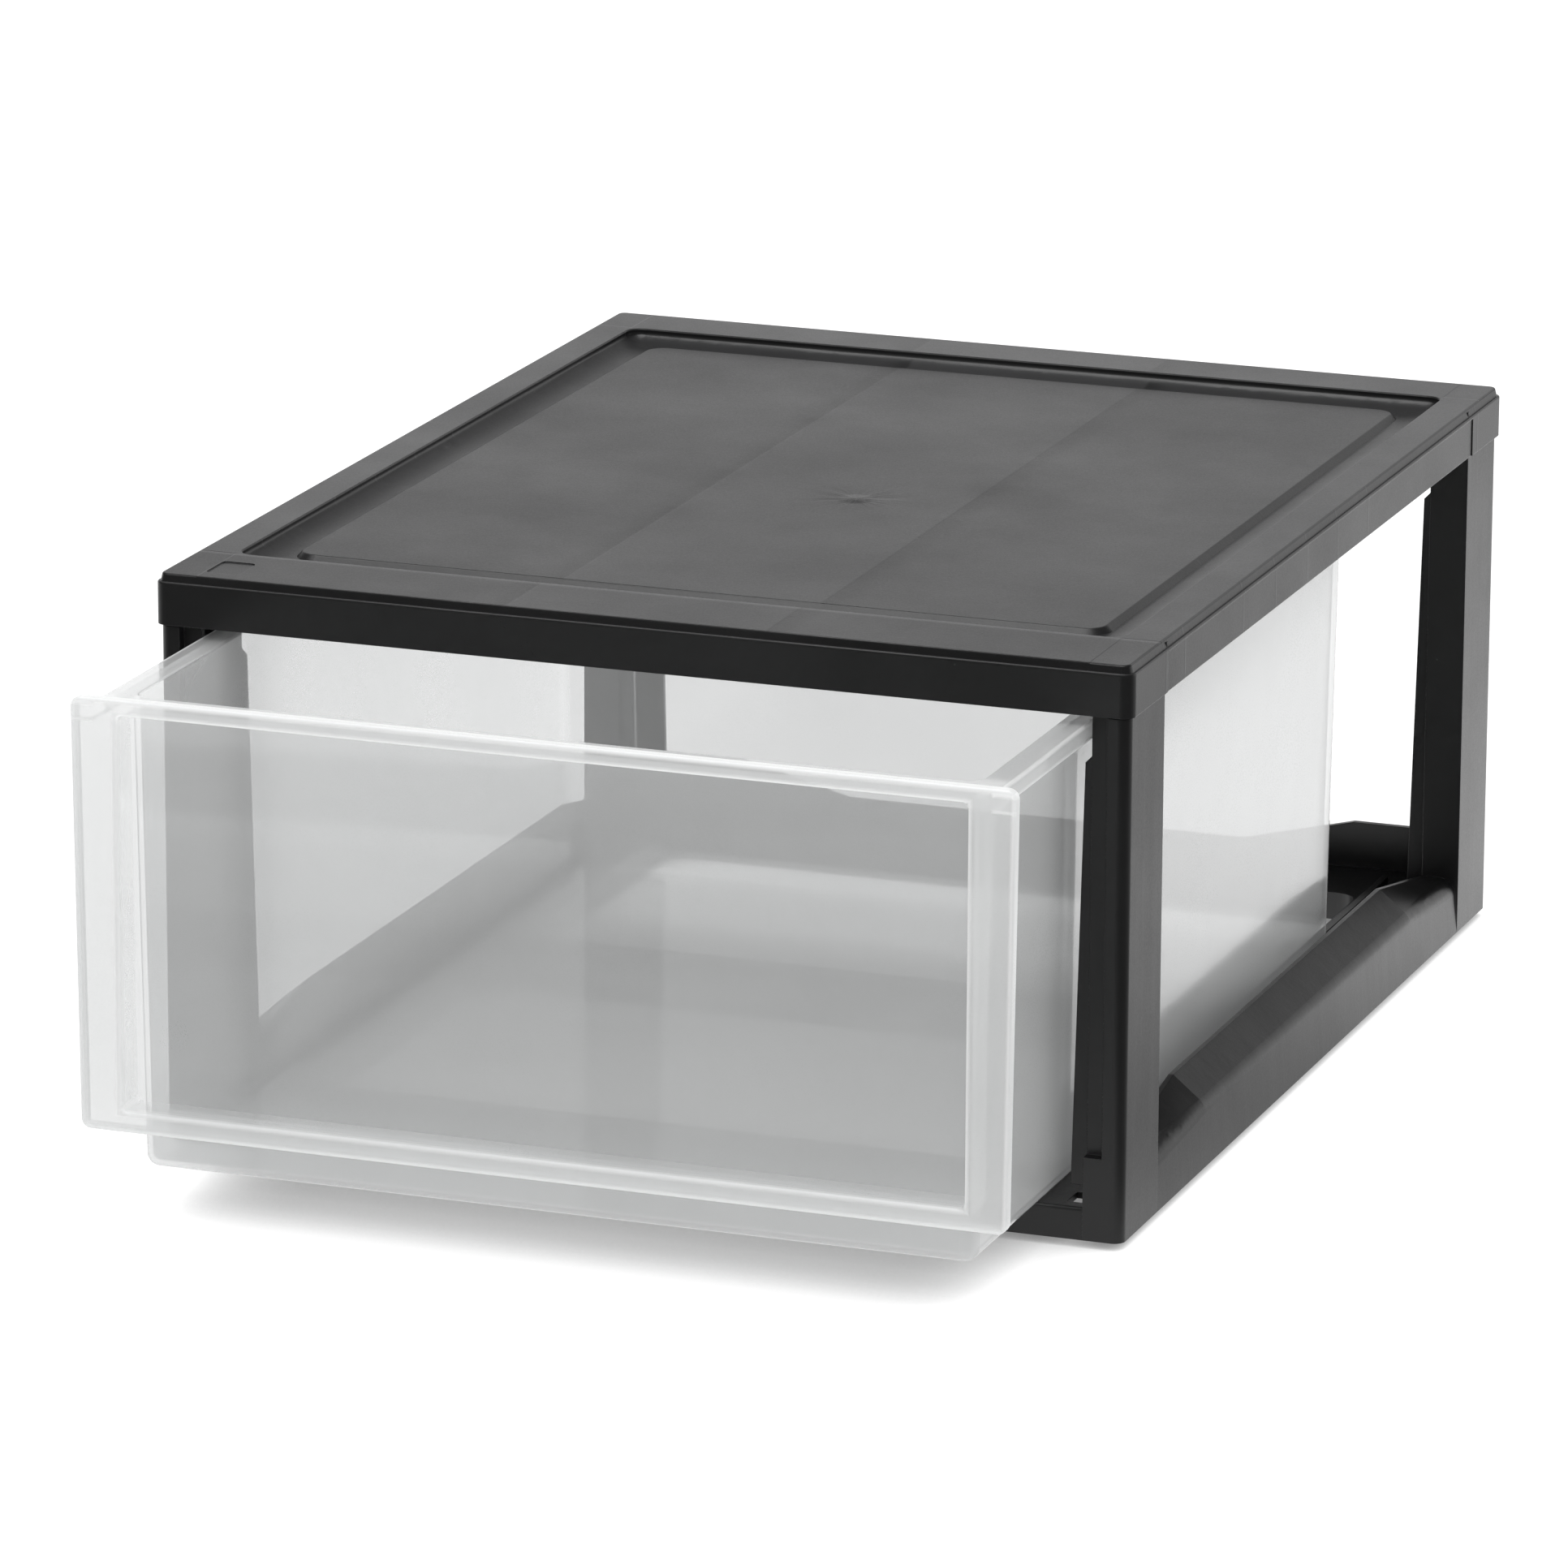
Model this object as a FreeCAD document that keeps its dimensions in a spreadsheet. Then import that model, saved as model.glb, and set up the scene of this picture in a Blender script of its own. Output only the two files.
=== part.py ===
import FreeCAD, Part
import os
import Sketcher

# Stackable drawer box: a black open frame with a snapped-on cover, and a translucent drawer that slides
# in it.
# Units are millimetres. X runs across the front, Y from the front to the back, and Z up from the ground.
# Every piece is modelled with X and Y measured from the middle of the frame and with the drawer shut.
# Placements then pull the drawer out, and put the middle of the whole object over the origin.

doc = FreeCAD.newDocument("stackable_drawer_box")

SIZES = [
    # Overall sizes of the frame
    ("body_width", 400, "width over the cover's rim"),
    ("body_depth", 500, "depth over the cover's rim"),
    ("frame_height", 228, "underside of the rails to the top of the cover"),
    ("foot_drop", 3, "how far the locating feet reach below the rails"),
    ("drawer_out", 104.5, "how far the drawer is pulled out at rest"),
    ("overrun", 2, "extra reach of a cut past the face it breaks through"),
    # Cover
    ("rim_depth", 20.4, "top of the cover to the underside of its rim"),
    ("rim_wall", 2.4, "thickness of the rim"),
    ("rim_corner", 5, "radius of the rim's upright corners"),
    ("rim_edge", 0.7, "rounding of the rim's top edge"),
    ("step_height", 3.3, "height of the step between the rim and the top face"),
    ("step_inset", 1.2, "inset of the step's foot from the rim"),
    ("step_lean", 0.8, "how far the wall of the step leans in"),
    ("step_edge", 0.8, "rounding of the top face's outer edge"),
    ("cover_skin", 2.5, "thickness of the cover's top"),
    ("block_length", 44, "length of the proud block at each end of the side rims"),
    ("block_step", 0.4, "how far the corner blocks stand out"),
    ("block_margin", 1.2, "height left above the set-back part of the side rims"),
    ("recess_side", 17.5, "rim to the stacking recess, at the sides"),
    ("recess_front", 41, "rim to the stacking recess, at the front"),
    ("recess_back", 29, "rim to the stacking recess, at the back"),
    ("recess_corner", 6.5, "corner radius of the recess"),
    ("recess_lip", 0.5, "rounding of the recess's top edge"),
    ("panel_drop", 3.7, "top face down to the raised panel"),
    ("trough_width", 16, "width of the trough beside and behind the raised panel"),
    ("trough_front", 22, "width of the trough in front of the raised panel"),
    ("trough_drop", 2.3, "raised panel down to the bottom of the trough"),
    ("cove_start", 1.6, "height of the upright wall above the cove"),
    ("cove_gap", 0.5, "flat bottom between the cove and the raised panel"),
    ("cove_corner", 1.5, "least corner radius of the cove"),
    ("tray_lean", 5, "how far the tray's underside leans in"),
    ("panel_corner", 8, "corner radius of the raised panel"),
    ("panel_edge", 1.2, "rounding of the raised panel's edge"),
    ("plate_length", 19, "blank name plate, along the depth"),
    ("plate_width", 14, "blank name plate, along the width"),
    ("plate_side", 17.8, "rim to the blank name plate, at the side"),
    ("plate_front", 9, "rim to the blank name plate, at the front"),
    ("plate_depth", 0.4, "depth of the blank name plate"),
    ("plate_corner", 2.5, "corner radius of the blank name plate"),
    ("socket_rib", 1.8, "thickness of the ribs round the post heads"),
    ("socket_drop", 12, "height of the ribs round the post heads"),
    ("socket_gap", 0.4, "clearance of the ribs round the post heads"),
    ("stop_place", 140, "front of the frame to the drawer stops under the cover"),
    ("stop_thickness", 2.4, "thickness of the drawer stops"),
    ("stop_width", 14, "width of the drawer stops"),
    ("stop_gap", 3.4, "drawer rim to the drawer stops above it"),
    ("catch_width", 12, "width of each catch in the cover"),
    ("catch_height", 3, "height of each catch in the cover"),
    ("catch_reach", 1.4, "how far each catch reaches into its post"),
    ("catch_drop", 7, "underside of the cover's top to the catch"),
    # Frame
    ("post_inset", 1.5, "cover rim to the faces of the posts"),
    ("post_length", 43.5, "depth of a post along the side"),
    ("post_width", 16, "width of a post across the front"),
    ("post_wall", 2.6, "thickness of the posts' walls"),
    ("post_corner", 4.5, "radius of the posts' outer corner"),
    ("head_gap", 0.2, "clearance between the post heads and the rim"),
    ("head_bevel", 0.8, "bevel on the shoulder under the rim"),
    ("floor_top", 12.6, "underside of the rails to the top of the floor"),
    ("floor_skin", 2.5, "thickness of the floor"),
    ("base_wall", 2.4, "thickness of the base's walls"),
    ("rail_rise", 24, "underside of the rails to their outer top edge"),
    ("rail_lean", 1.7, "how far the outer face of a rail leans in"),
    ("rail_skin", 3, "thickness of the rails' sloping tops, measured upright"),
    ("rail_edge", 7.5, "rounding of the rails' outer top edge"),
    ("floor_edge", 1.5, "rounding of the base's outer top edge"),
    ("crest_rise", 35, "underside of the rails to their inner crest"),
    ("crest_dip", 23, "height of the inner crest beside a post"),
    ("crest_run", 65, "length of the slope from the crest down to a post"),
    ("crest_flat", 2, "width of the crest's top"),
    ("back_rise", 32.5, "height of the back wall beside the posts"),
    ("back_dip", 20, "height of the back wall at its middle"),
    ("back_wall", 3, "thickness of the back wall"),
    ("back_shoulder", 60, "side of the frame to the start of the back wall's slope"),
    ("back_run", 50, "length of each slope of the back wall"),
    ("seat_width", 7.5, "width of the drawer flange's seat in the front posts"),
    ("seat_depth", 4.7, "depth of the drawer flange's seat"),
    ("seat_rise", 33.2, "height of the ledge under the drawer flange"),
    ("guide_low", 6, "guide to the drawer's side, at the guide's foot"),
    ("guide_lean", 3.8, "how far a guide leans out over its height"),
    ("guide_foot", 19.7, "height of a guide's foot"),
    ("guide_drop", 20.6, "cover's rim to the top of a guide"),
    ("guide_bevel", 3.5, "height of the bevel at a guide's top"),
    ("guide_wall", 2.5, "thickness of a guide"),
    ("pocket_length", 12, "length of the hole in the floor under a guide"),
    ("strip_side", 26, "width of the floor beside its openings"),
    ("strip_end", 45, "width of the floor before and behind its openings"),
    ("cross_bar", 40, "width of the floor's middle bar"),
    ("opening_corner", 10, "corner radius of the floor's openings"),
    ("opening_skirt", 9.5, "depth of the wall round each floor opening"),
    ("runner_width", 3, "width of the runners under the drawer"),
    ("running_gap", 0.3, "clearance between the runners and the drawer"),
    ("runner_place", 40, "rim of the cover to the middle of a runner"),
    ("foot_width", 12, "width of a locating foot"),
    ("foot_length", 22, "length of a locating foot"),
    ("foot_gap", 1, "clearance of the feet in the stacking recess"),
    ("foot_wall", 2.4, "thickness of a foot's walls"),
    # Drawer
    ("lip_gap", 0.9, "clearance of the drawer's rim beside the posts"),
    ("box_draft", 2.9, "how far the drawer's walls lean in over their height"),
    ("box_bottom_gap", 2.9, "top of the floor to the underside of the drawer"),
    ("lip_top_gap", 4.4, "top of the drawer's rim to the cover's rim"),
    ("box_back", 28, "cover rim to the back of the drawer box"),
    ("box_front", 15, "cover rim to the front wall of the drawer box"),
    ("box_corner", 9, "radius of the drawer box's upright corners"),
    ("box_mouth", 1, "rounding of the drawer's inner top edge"),
    ("box_wall", 2.3, "thickness of the drawer's walls"),
    ("box_floor", 2.4, "thickness of the drawer's floor"),
    ("box_edge", 5, "rounding of the drawer's bottom edge"),
    ("lip_reach", 9.4, "how far the drawer's rim stands out"),
    ("lip_skin", 2, "thickness of the drawer's rim"),
    ("lip_depth", 6.6, "height of the drawer's turned-down rim"),
    ("lip_corner", 12, "corner radius of the drawer's rim"),
    ("lip_edge", 0.8, "rounding of the rim's edges"),
    ("flange_side_gap", 0.5, "clearance of the flange in its seat, at the sides"),
    ("flange_lean", 2, "how far the flange's sides lean in"),
    ("flange_top_gap", 2.2, "top of the flange to the cover's rim"),
    ("flange_foot_gap", 1, "clearance between the flange and the ledge under it"),
    ("flange_skin", 2.2, "thickness of the flange"),
    ("flange_depth", 4.4, "depth of the flange's turned-back edge"),
    ("flange_corner", 4, "corner radius of the flange"),
    ("flange_edge", 0.9, "rounding of the flange's front edge"),
    ("window_side", 18.9, "flange's side to the set-back window"),
    ("window_head", 6.4, "flange's top to the set-back window"),
    ("window_sill", 8.3, "flange's bottom to the set-back window"),
    ("window_corner", 2.5, "corner radius of the window"),
    ("window_edge", 1.6, "rounding of the window's front edge"),
    ("lug_width", 12, "width of a stop lug"),
    ("lug_height", 5.5, "height of a stop lug"),
    ("lug_length", 6, "length of a stop lug"),
    ("lug_place", 14, "side of the drawer box to a stop lug"),
]

# Sheet of sizes
sheet = doc.addObject("Spreadsheet::Sheet", "Sizes")
for row, (alias, size, note) in enumerate(SIZES, start=1):
    sheet.set(f"A{row}", alias)
    sheet.set(f"B{row}", str(size))
    sheet.set(f"C{row}", note)
    sheet.setAlias(f"B{row}", alias)
doc.recompute()


def size(alias):
    """Expression for one size of the sheet."""
    return f"Sizes.{alias}"


def number(expression):
    """Present value of an expression, for a sketch's first shape."""
    return float(sheet.evalExpression(expression))


# Heights and places that several pieces share
HALF_WIDTH = "Sizes.body_width / 2"
HALF_DEPTH = "Sizes.body_depth / 2"
GROUND_GAP = "Sizes.foot_drop"
COVER_TOP = "(Sizes.foot_drop + Sizes.frame_height)"
COVER_INNER = f"({COVER_TOP} - Sizes.cover_skin)"
RIM_BOTTOM = f"({COVER_TOP} - Sizes.rim_depth)"
LEDGE = f"({COVER_TOP} - Sizes.step_height)"
PANEL_TOP = f"({COVER_TOP} - Sizes.panel_drop)"
TROUGH = f"({PANEL_TOP} - Sizes.trough_drop)"
TRAY_BOTTOM = f"({TROUGH} - Sizes.cover_skin)"
FLOOR_TOP = "(Sizes.foot_drop + Sizes.floor_top)"
FLOOR_BOTTOM = f"({FLOOR_TOP} - Sizes.floor_skin)"
POST_SIDE = f"({HALF_WIDTH} - Sizes.post_inset)"
POST_END = f"({HALF_DEPTH} - Sizes.post_inset)"
POST_INNER = f"({POST_SIDE} - Sizes.post_width)"
POST_BACK = f"({POST_END} - Sizes.post_length)"
CREST_INNER = f"({POST_INNER} - Sizes.crest_flat / 2)"
DRAWER_BOTTOM = f"({FLOOR_TOP} + Sizes.box_bottom_gap)"
DRAWER_TOP = f"({RIM_BOTTOM} - Sizes.lip_top_gap)"
LIP_HALF = f"({POST_INNER} - Sizes.lip_gap)"
BOX_HALF = f"({LIP_HALF} - Sizes.lip_reach)"
FLANGE_HALF = f"({POST_INNER} + Sizes.seat_width - Sizes.flange_side_gap)"
FLANGE_HIGH = f"({RIM_BOTTOM} - Sizes.flange_top_gap)"
FLANGE_LOW = "(Sizes.foot_drop + Sizes.seat_rise + Sizes.flange_foot_gap)"
WINDOW_HALF = f"({FLANGE_HALF} - Sizes.window_side)"
WINDOW_HIGH = f"({FLANGE_HIGH} - Sizes.window_head)"
WINDOW_LOW = f"({FLANGE_LOW} + Sizes.window_sill)"
BOX_BACK = f"({HALF_DEPTH} - Sizes.box_back)"
BOX_FRONT = f"(-{HALF_DEPTH} + Sizes.box_front)"
FLANGE_FACE = f"(-{POST_END})"
RECESS_SIDE = f"({HALF_WIDTH} - Sizes.recess_side)"
RECESS_FRONT = f"(-{HALF_DEPTH} + Sizes.recess_front)"
RECESS_BACK = f"({HALF_DEPTH} - Sizes.recess_back)"
POST_MIDDLE = f"(({POST_BACK} + {POST_END}) / 2)"
CATCH_TOP = f"({COVER_INNER} - Sizes.catch_drop)"
LUG_MIDDLE = f"({BOX_HALF} - Sizes.lug_place)"
STOP_FRONT = f"(-{HALF_DEPTH} + Sizes.stop_place)"
FRAME_SHIFT = "(Sizes.drawer_out - Sizes.post_inset) / 2"
QUARTER_TURN = "90 deg"
QUARTER = FreeCAD.Units.parseQuantity(QUARTER_TURN).getValueAs("rad").Value
COVE_STEPS = 6
SIGNS = (-1, 1)
NEAR = 1e-4


def new_body(name, shift):
    """Body named after its piece, moved along Y by the expression shift."""
    body = doc.addObject("PartDesign::Body", name)
    body.Label = name
    body.setExpression("Placement.Base.y", shift)
    return body


def new_sketch(body, name, role, offset):
    """Sketch on an origin plane of the body, moved along the plane's normal by the expression offset."""
    plane = next(item for item in body.Origin.OriginFeatures if item.Role == role)
    sketch = body.newObject("Sketcher::SketchObject", name)
    sketch.AttachmentSupport = (plane, [""])
    sketch.MapMode = "FlatFace"
    sketch.setExpression("AttachmentOffset.Base.z", offset)
    sketch.Visibility = False
    return sketch


def bind(sketch, constraint, name, expression):
    """Adds a constraint with a name and ties it to an expression."""
    place = sketch.addConstraint(constraint)
    sketch.renameConstraint(place, name)
    sketch.setExpression(f"Constraints.{name}", expression)


def polygon(sketch, points):
    """Closed outline through points given as pairs of expressions."""
    first = sketch.GeometryCount
    count = len(points)
    corners = [FreeCAD.Vector(number(across), number(up), 0) for across, up in points]
    for step in range(count):
        sketch.addGeometry(Part.LineSegment(corners[step], corners[(step + 1) % count]), False)
    for step, (across, up) in enumerate(points):
        line = first + step
        sketch.addConstraint(Sketcher.Constraint("Coincident", line, 2, first + (step + 1) % count, 1))
        corner = corners[step]
        bind(sketch, Sketcher.Constraint("DistanceX", -1, 1, line, 1, corner.x), f"across_{line}", across)
        bind(sketch, Sketcher.Constraint("DistanceY", -1, 1, line, 1, corner.y), f"up_{line}", up)


def rectangle(sketch, across, up):
    """Closed rectangle between two pairs of expressions."""
    left, right = across
    low, high = up
    polygon(sketch, [(left, low), (right, low), (right, high), (left, high)])


def round_corner(sketch, line, radius):
    """Rounds the corner at the end of a line of a sketch."""
    arc = sketch.GeometryCount
    sketch.fillet(line, 2, number(radius), True, True)
    bind(sketch, Sketcher.Constraint("Radius", arc, number(radius)), f"radius_{arc}", radius)


def rounded_rectangle(sketch, across, up, radius):
    """Closed rectangle with four equal round corners, between two pairs of expressions."""
    first = sketch.GeometryCount
    x_low, x_high, y_low, y_high, bend = (number(item) for item in (*across, *up, radius))
    vector = FreeCAD.Vector
    lines = [
        (vector(x_low + bend, y_low, 0), vector(x_high - bend, y_low, 0)),
        (vector(x_high, y_low + bend, 0), vector(x_high, y_high - bend, 0)),
        (vector(x_high - bend, y_high, 0), vector(x_low + bend, y_high, 0)),
        (vector(x_low, y_high - bend, 0), vector(x_low, y_low + bend, 0)),
    ]
    centres = [
        vector(x_high - bend, y_low + bend, 0),
        vector(x_high - bend, y_high - bend, 0),
        vector(x_low + bend, y_high - bend, 0),
        vector(x_low + bend, y_low + bend, 0),
    ]
    for start, end in lines:
        sketch.addGeometry(Part.LineSegment(start, end), False)
    for step, centre in enumerate(centres):
        circle = Part.Circle(centre, vector(0, 0, 1), bend)
        sketch.addGeometry(Part.ArcOfCircle(circle, QUARTER * (step - 1), QUARTER * step), False)
    for step, kind in enumerate(("Horizontal", "Vertical", "Horizontal", "Vertical")):
        line = first + step
        arc = line + 4
        sketch.addConstraint(Sketcher.Constraint("Tangent", line, 2, arc, 1))
        sketch.addConstraint(Sketcher.Constraint("Tangent", arc, 2, first + (step + 1) % 4, 1))
        sketch.addConstraint(Sketcher.Constraint(kind, line))
        if step:
            sketch.addConstraint(Sketcher.Constraint("Equal", first + 4, arc))
    bind(sketch, Sketcher.Constraint("DistanceX", -1, 1, first + 1, 1, x_high), f"right_{first}", across[1])
    bind(sketch, Sketcher.Constraint("DistanceX", -1, 1, first + 3, 1, x_low), f"left_{first}", across[0])
    bind(sketch, Sketcher.Constraint("DistanceY", -1, 1, first, 1, y_low), f"low_{first}", up[0])
    bind(sketch, Sketcher.Constraint("DistanceY", -1, 1, first + 2, 1, y_high), f"high_{first}", up[1])
    bind(sketch, Sketcher.Constraint("Radius", first + 4, bend), f"radius_{first}", radius)


def extrude(body, kind, name, sketch, length, lean="0", backwards=False):
    """Pad or pocket of a sketch, with a lean given as the sideways run over its whole length."""
    feature = body.newObject(f"PartDesign::{kind}", name)
    feature.Profile = sketch
    feature.Reversed = backwards
    feature.setExpression("Length", length)
    if lean != "0":
        feature.setExpression("TaperAngle", f"atan(({lean}) / ({length}))")
    doc.recompute()
    return feature


def slab(body, kind, name, outline, upward, lean="0"):
    """Pad or pocket of one rounded outline between two heights, drawn at the lower one."""
    across, along, radius = outline
    sketch = new_sketch(body, f"{name}_outline", "XY_Plane", upward[0])
    rounded_rectangle(sketch, across, along, radius)
    extrude(body, kind, name, sketch, f"({upward[1]}) - ({upward[0]})", lean, kind == "Pocket")


def blocks(body, kind, name, spans, upward):
    """Pad or pocket of boxes that share their two heights."""
    sketch = new_sketch(body, f"{name}_outline", "XY_Plane", upward[0])
    for across, along in spans:
        rectangle(sketch, across, along)
    extrude(body, kind, name, sketch, f"({upward[1]}) - ({upward[0]})", backwards=kind == "Pocket")


def facing(sign, low, high):
    """Pair of expressions, turned to the other side of the middle where sign is negative."""
    if sign > 0:
        return (low, high)
    return (f"-({high})", f"-({low})")


def both_sides(low, high, along):
    """Spans of two boxes, one on each side of the middle."""
    return [(facing(sign, low, high), along) for sign in SIGNS]


def four_corners(across, along):
    """Spans of four boxes, one in each corner."""
    return [(facing(sign, *across), facing(way, *along)) for sign in SIGNS for way in SIGNS]


def round_edges(body, kind, name, expression, chosen):
    """Fillet or chamfer on the body's present edges for which chosen(box of the edge) is true."""
    base = body.Tip
    edges = enumerate(base.Shape.Edges, start=1)
    feature = body.newObject(f"PartDesign::{kind}", name)
    feature.Base = (base, [f"Edge{place}" for place, edge in edges if chosen(edge.BoundBox)])
    feature.setExpression("Radius" if kind == "Fillet" else "Size", expression)
    doc.recompute()


def near(first, second):
    """Whether two lengths are the same but for rounding."""
    return abs(first - second) < NEAR


def level(height):
    """Test for an edge that lies flat at a height."""
    place = number(height)
    return lambda box: near(box.ZMin, place) and near(box.ZMax, place)


def recess_outline(inset, front_inset, corner):
    """Outline of the stacking recess, drawn in by an inset and by its own inset at the front."""
    across = (f"-({RECESS_SIDE} - {inset})", f"{RECESS_SIDE} - {inset}")
    along = (f"{RECESS_FRONT} + {front_inset}", f"{RECESS_BACK} - {inset}")
    return (across, along, corner)


def build_recess(body):
    """Stacking recess in its tray: upright wall, cove like a quarter of an ellipse, and raised panel."""
    grow = "(Sizes.tray_lean - Sizes.cover_skin)"
    outline = recess_outline(grow, grow, f"Sizes.recess_corner - {grow}")
    slab(body, "Pad", "tray", outline, (TRAY_BOTTOM, COVER_INNER), size("tray_lean"))
    top = f"({COVER_TOP} - Sizes.cove_start)"
    slab(body, "Pocket", "recess", recess_outline("0", "0", size("recess_corner")), (top, COVER_TOP))
    run = "(Sizes.trough_width - Sizes.trough_drop - Sizes.cove_gap)"
    sections = []
    for step in range(COVE_STEPS + 1):
        turn = f"({QUARTER_TURN} * {step} / {COVE_STEPS})"
        inset = f"({run} * (1 - cos({turn})))"
        corner = f"max(Sizes.recess_corner - {inset}; Sizes.cove_corner)"
        section = new_sketch(body, f"cove_{step}", "XY_Plane", f"{top} - ({top} - {TROUGH}) * sin({turn})")
        rounded_rectangle(section, *recess_outline(inset, inset, corner))
        sections.append(section)
    cove = body.newObject("PartDesign::SubtractiveLoft", "cove")
    cove.Profile = sections[0]
    cove.Sections = sections[1:]
    doc.recompute()
    reach = number(RECESS_SIDE)
    at_top = level(COVER_TOP)
    round_edges(
        body, "Fillet", "recess_rounding", size("recess_lip"),
        lambda box: at_top(box) and max(abs(box.XMin), abs(box.XMax)) < reach + NEAR,
    )

    # Raised panel with sloping sides
    drop = size("trough_drop")
    inset = f"(Sizes.trough_width - {drop})"
    outline = recess_outline(inset, f"(Sizes.trough_front - {drop})", f"Sizes.panel_corner + {drop}")
    slab(body, "Pad", "panel", outline, (TROUGH, PANEL_TOP), f"-{drop}")
    round_edges(body, "Fillet", "panel_rounding", size("panel_edge"), level(PANEL_TOP))


def build_cover():
    """Cover: rim, step, top face, stacking recess with its raised panel, name plate, ribs and catches."""
    body = new_body("top_cover", FRAME_SHIFT)
    across = (f"-{HALF_WIDTH}", HALF_WIDTH)
    along = (f"-{HALF_DEPTH}", HALF_DEPTH)
    slab(body, "Pad", "rim_block", (across, along, size("rim_corner")), (RIM_BOTTOM, LEDGE))
    round_edges(body, "Fillet", "rim_rounding", size("rim_edge"), level(LEDGE))

    across = (f"-({HALF_WIDTH} - Sizes.step_inset)", f"{HALF_WIDTH} - Sizes.step_inset")
    along = (f"-({HALF_DEPTH} - Sizes.step_inset)", f"{HALF_DEPTH} - Sizes.step_inset")
    outline = (across, along, "Sizes.rim_corner - Sizes.step_inset")
    slab(body, "Pad", "top_block", outline, (LEDGE, COVER_TOP), "-Sizes.step_lean")
    round_edges(body, "Fillet", "top_rounding", size("step_edge"), level(COVER_TOP))

    # Hollow underside, and the tray that hangs in it and holds the stacking recess
    across = (f"-({HALF_WIDTH} - Sizes.rim_wall)", f"{HALF_WIDTH} - Sizes.rim_wall")
    along = (f"-({HALF_DEPTH} - Sizes.rim_wall)", f"{HALF_DEPTH} - Sizes.rim_wall")
    outline = (across, along, "Sizes.rim_corner - Sizes.rim_wall")
    slab(body, "Pocket", "hollow", outline, (RIM_BOTTOM, COVER_INNER))
    build_recess(body)

    # Middle part of each side rim, set back between the corner blocks
    along = (f"-({HALF_DEPTH} - Sizes.block_length)", f"{HALF_DEPTH} - Sizes.block_length")
    spans = both_sides(f"{HALF_WIDTH} - Sizes.block_step", f"{HALF_WIDTH} + Sizes.overrun", along)
    upward = (f"{RIM_BOTTOM} - Sizes.overrun", f"{LEDGE} - Sizes.block_margin")
    blocks(body, "Pocket", "side_set_back", spans, upward)

    # Blank name plate
    left = f"-{HALF_WIDTH} + Sizes.plate_side"
    low = f"-{HALF_DEPTH} + Sizes.plate_front"
    across = (left, f"{left} + Sizes.plate_width")
    along = (low, f"{low} + Sizes.plate_length")
    outline = (across, along, size("plate_corner"))
    slab(body, "Pocket", "name_plate", outline, (f"{COVER_TOP} - Sizes.plate_depth", COVER_TOP))

    # Ribs that hold the post heads, and the catches that snap into them
    wall = f"({HALF_WIDTH} - Sizes.rim_wall)"
    outer = f"({POST_BACK} - Sizes.socket_gap)"
    across = (RECESS_SIDE, f"{wall} + Sizes.rim_wall / 2")
    spans = four_corners(across, (f"{outer} - Sizes.socket_rib", outer))
    upward = (f"{COVER_INNER} - Sizes.socket_drop", f"{COVER_INNER} + Sizes.cover_skin / 2")
    blocks(body, "Pad", "socket_ribs", spans, upward)
    along = (f"{POST_MIDDLE} - Sizes.catch_width / 2", f"{POST_MIDDLE} + Sizes.catch_width / 2")
    spans = four_corners((f"{wall} - Sizes.catch_reach", f"{wall} + Sizes.rim_wall / 2"), along)
    blocks(body, "Pad", "catches", spans, (f"{CATCH_TOP} - Sizes.catch_height", CATCH_TOP))

    # Stops that hold the drawer's lugs when it is pulled right out
    half = "Sizes.stop_width / 2"
    along = (STOP_FRONT, f"{STOP_FRONT} + Sizes.stop_thickness")
    spans = both_sides(f"{LUG_MIDDLE} - {half}", f"{LUG_MIDDLE} + {half}", along)
    upward = (f"{DRAWER_TOP} + Sizes.stop_gap", f"{TRAY_BOTTOM} + Sizes.cover_skin / 2")
    blocks(body, "Pad", "drawer_stops", spans, upward)
    return body


def build_tray(body):
    """Floor of the base with its outer walls, hollow underneath."""
    lean = "(Sizes.rail_lean * Sizes.floor_top / Sizes.rail_rise)"
    corner = "(Sizes.post_corner + Sizes.rail_lean)"
    outline = ((f"-{POST_SIDE}", POST_SIDE), (f"-{POST_END}", POST_END), corner)
    slab(body, "Pad", "base", outline, (GROUND_GAP, FLOOR_TOP), f"-{lean}")
    round_edges(body, "Fillet", "base_rounding", size("floor_edge"), level(FLOOR_TOP))
    across = (f"-({POST_SIDE} - Sizes.base_wall)", f"{POST_SIDE} - Sizes.base_wall")
    along = (f"-({POST_END} - Sizes.base_wall)", f"{POST_END} - Sizes.base_wall")
    outline = (across, along, f"{corner} - Sizes.base_wall")
    slab(body, "Pocket", "base_hollow", outline, (GROUND_GAP, FLOOR_BOTTOM), f"-{lean}")


def rail_section(body, name, place, sides, outline):
    """Sketch across the width at a place along the depth, with the outline on the given sides."""
    sketch = new_sketch(body, name, "XZ_Plane", f"-({place})")
    for sign in sides:
        polygon(sketch, [(facing(sign, across, across)[0], up) for across, up in outline])
    return sketch


def rail_outline(crest):
    """Outline of a side rail whose inner crest has the given height above the rail's underside."""
    return [
        (POST_SIDE, GROUND_GAP),
        (f"{POST_SIDE} - Sizes.rail_lean", "Sizes.foot_drop + Sizes.rail_rise"),
        (f"{POST_INNER} + Sizes.crest_flat / 2", f"Sizes.foot_drop + {crest}"),
        (CREST_INNER, f"Sizes.foot_drop + {crest}"),
        (CREST_INNER, GROUND_GAP),
    ]


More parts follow.
